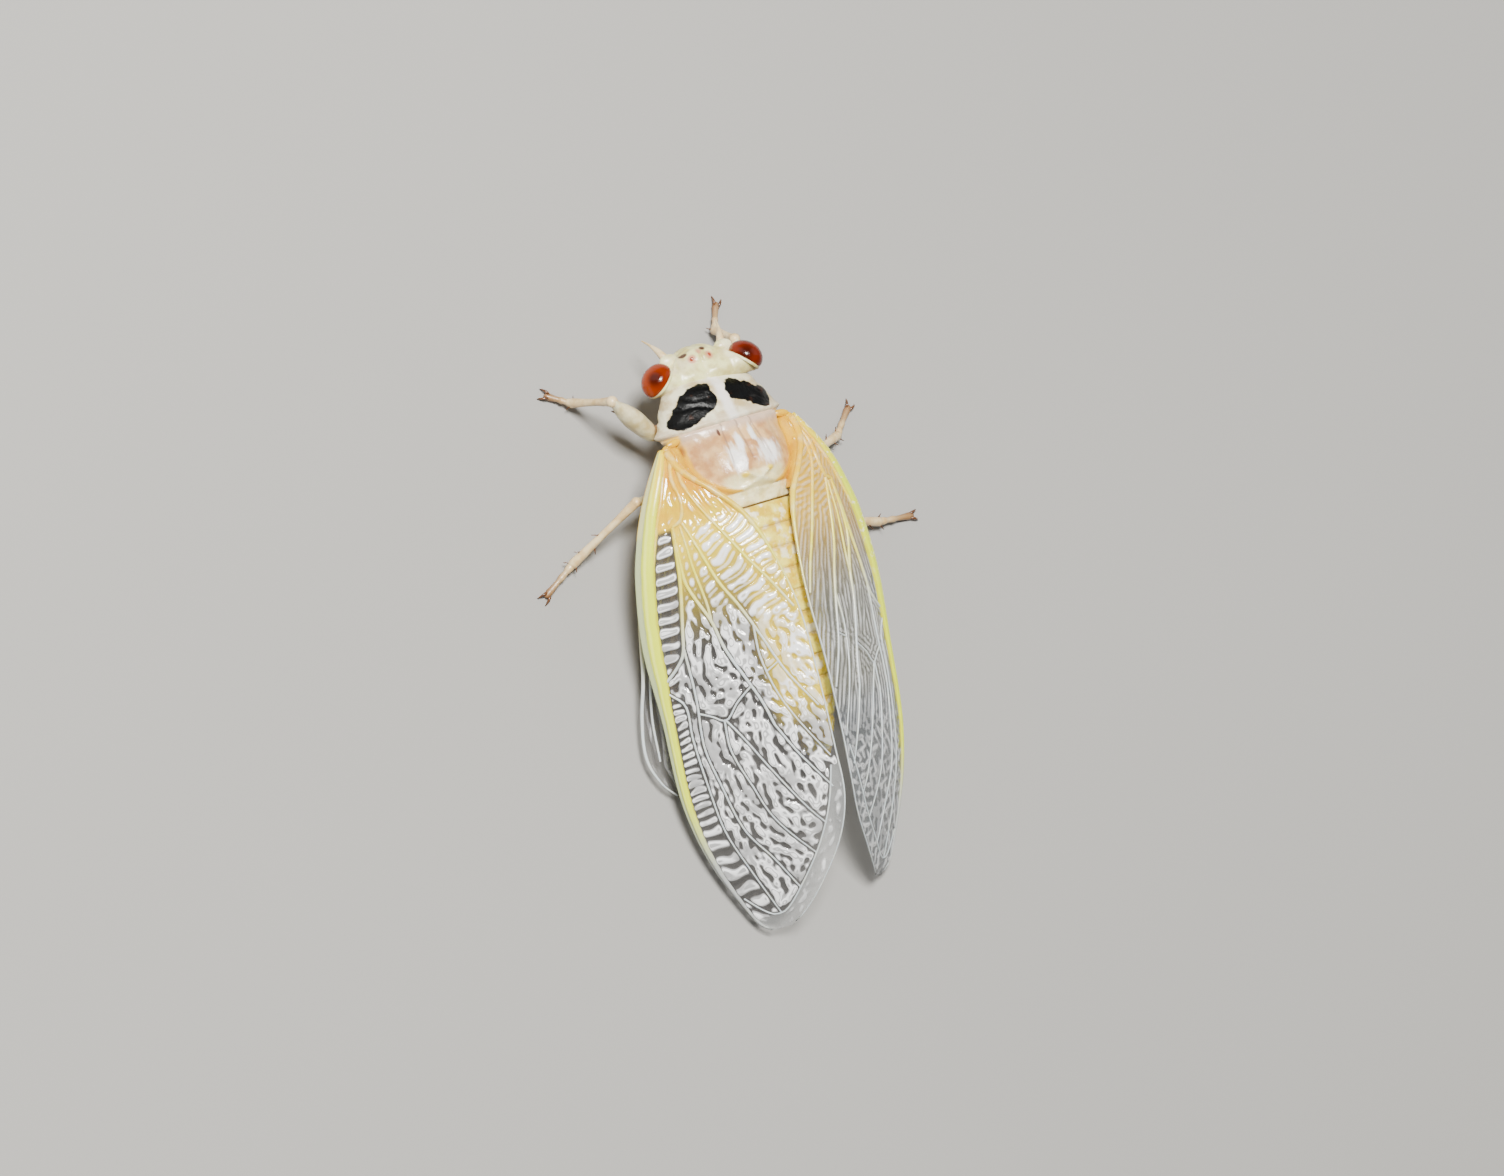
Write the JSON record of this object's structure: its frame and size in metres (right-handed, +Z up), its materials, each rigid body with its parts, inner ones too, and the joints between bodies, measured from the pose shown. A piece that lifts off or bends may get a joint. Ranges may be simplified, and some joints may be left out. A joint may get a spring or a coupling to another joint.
{
  "type": "periodical cicada model",
  "caption": "Life-size, newly moulted periodical cicada that stands on its feet with its clear, veined wings folded like a roof.",
  "frame": {"origin": "on the floor, under the middle of the whole insect's box, feet and wing tips included", "axes": "-Y the way the head points, +X the insect's left, +Z up"},
  "size_m": [0.028, 0.0398, 0.0098],
  "materials": {
    "pale_cuticle": "soft, glossy, cream to pale green-yellow new cuticle",
    "collar_cuticle": "cream-white shield with two large black patches",
    "rose_cuticle": "glossy pink-tan dome with a cream cross at its rear",
    "yellow_cuticle": "satin cream to golden-yellow rings",
    "tan_cuticle": "satin beige to brown leg cuticle",
    "eye": "wet-looking orange-red faceted eye",
    "wing_membrane": "clear, finely wrinkled film between raised pale yellow veins"
  },
  "bodies": {
    "root": {"abdomen": "yellow_cuticle", "abdomen_tip": "yellow_cuticle", "antenna_left": "tan_cuticle", "antenna_right": "tan_cuticle", "eye_left": "eye", "eye_right": "eye", "forewing_left": "wing_membrane", "forewing_right": "wing_membrane", "head": "pale_cuticle", "hindwing_left": "wing_membrane", "hindwing_right": "wing_membrane", "leg_front_left_shin": "tan_cuticle", "leg_front_left_thigh": "pale_cuticle", "leg_front_right_shin": "tan_cuticle", "leg_front_right_thigh": "pale_cuticle", "leg_hind_left_shin": "tan_cuticle", "leg_hind_left_thigh": "pale_cuticle", "leg_hind_right_shin": "tan_cuticle", "leg_hind_right_thigh": "pale_cuticle", "leg_middle_left_shin": "tan_cuticle", "leg_middle_left_thigh": "pale_cuticle", "leg_middle_right_shin": "tan_cuticle", "leg_middle_right_thigh": "pale_cuticle", "mesothorax": "rose_cuticle", "metathorax": "pale_cuticle", "prothorax": "collar_cuticle", "rostrum": "tan_cuticle"}
  },
  "joints": []
}
